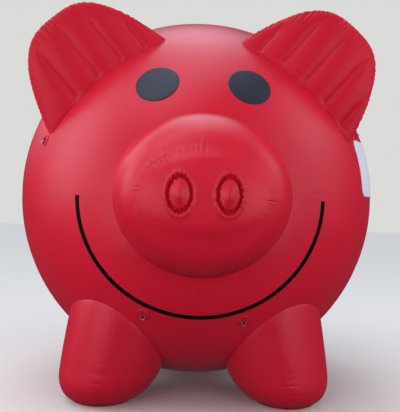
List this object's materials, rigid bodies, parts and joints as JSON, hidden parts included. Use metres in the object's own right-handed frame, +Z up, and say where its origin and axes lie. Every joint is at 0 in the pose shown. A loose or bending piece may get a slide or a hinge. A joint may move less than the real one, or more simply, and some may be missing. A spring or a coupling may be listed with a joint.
{
  "type": "inflatable pig figure with floor blower",
  "caption": "Large red cold-air inflatable pig on stub legs, with pillow ears, a padded snout and a sewn smile, kept up by a floor blower through a sleeve.",
  "frame": {"origin": "on the ground, in the middle of the whole assembly's length and width, blower and sleeve included", "axes": "+Z up; the pig looks along -Y; +X is the pig's left, the right-hand side of the picture"},
  "size_m": [3.1, 4.8637, 3.185],
  "materials": {
    "red_fabric": "satin red coated polyester, sewn in gores",
    "deep_red_fabric": "heavier red coated fabric, slightly duller",
    "dark_vinyl": "satin dark grey-blue vinyl",
    "black_vinyl": "satin black vinyl band",
    "white_vinyl": "blank white vinyl panel",
    "webbing": "red polyester webbing and reinforced patch",
    "steel": "welded zinc-plated ring",
    "blue_plastic": "moulded plastic housing",
    "black_plastic": "moulded black plastic",
    "grey_metal": "grey painted steel",
    "black_rubber": "moulded rubber"
  },
  "bodies": {
    "figure": {"banner_panel": "white_vinyl", "blower_base": "black_rubber", "blower_motor": "grey_metal", "blower_nozzle": "black_plastic", "blower_scroll": "blue_plastic", "blower_side_inlet": "blue_plastic", "blower_side_motor": "blue_plastic", "body_envelope": "red_fabric", "carry_handle": "black_plastic", "ear_left": "red_fabric", "ear_right": "red_fabric", "eye_left": "dark_vinyl", "eye_right": "dark_vinyl", "inlet_grille": "black_plastic", "inlet_sleeve": "red_fabric", "leg_front_left": "red_fabric", "leg_front_right": "red_fabric", "leg_rear_left": "red_fabric", "leg_rear_right": "red_fabric", "nostril_well_left": "deep_red_fabric", "nostril_well_right": "deep_red_fabric", "power_inlet": "black_plastic", "power_switch": "grey_metal", "sleeve_strap": "black_plastic", "smile": "black_vinyl", "snout_face": "red_fabric", "snout_wall": "red_fabric", "sole_front_left": "deep_red_fabric", "sole_front_right": "deep_red_fabric", "sole_rear_left": "deep_red_fabric", "sole_rear_right": "deep_red_fabric", "switch_box": "black_plastic", "tail": "red_fabric", "tether_patch_front_left": "webbing", "tether_patch_front_right": "webbing", "tether_patch_rear_left": "webbing", "tether_patch_rear_right": "webbing", "tether_patch_side_left": "webbing", "tether_patch_side_right": "webbing", "tether_ring_front_left": "steel", "tether_ring_front_right": "steel", "tether_ring_rear_left": "steel", "tether_ring_rear_right": "steel", "tether_ring_side_left": "steel", "tether_ring_side_right": "steel", "vent_flap": "deep_red_fabric"},
    "fan": {"fan_wheel": "grey_metal"}
  },
  "joints": [
    {"name": "fan_spin", "type": "hinge", "parent": "figure", "child": "fan", "pos_m": [0, 2.228, 0.27], "axis": [1, 0, 0], "continuous": true}
  ]
}
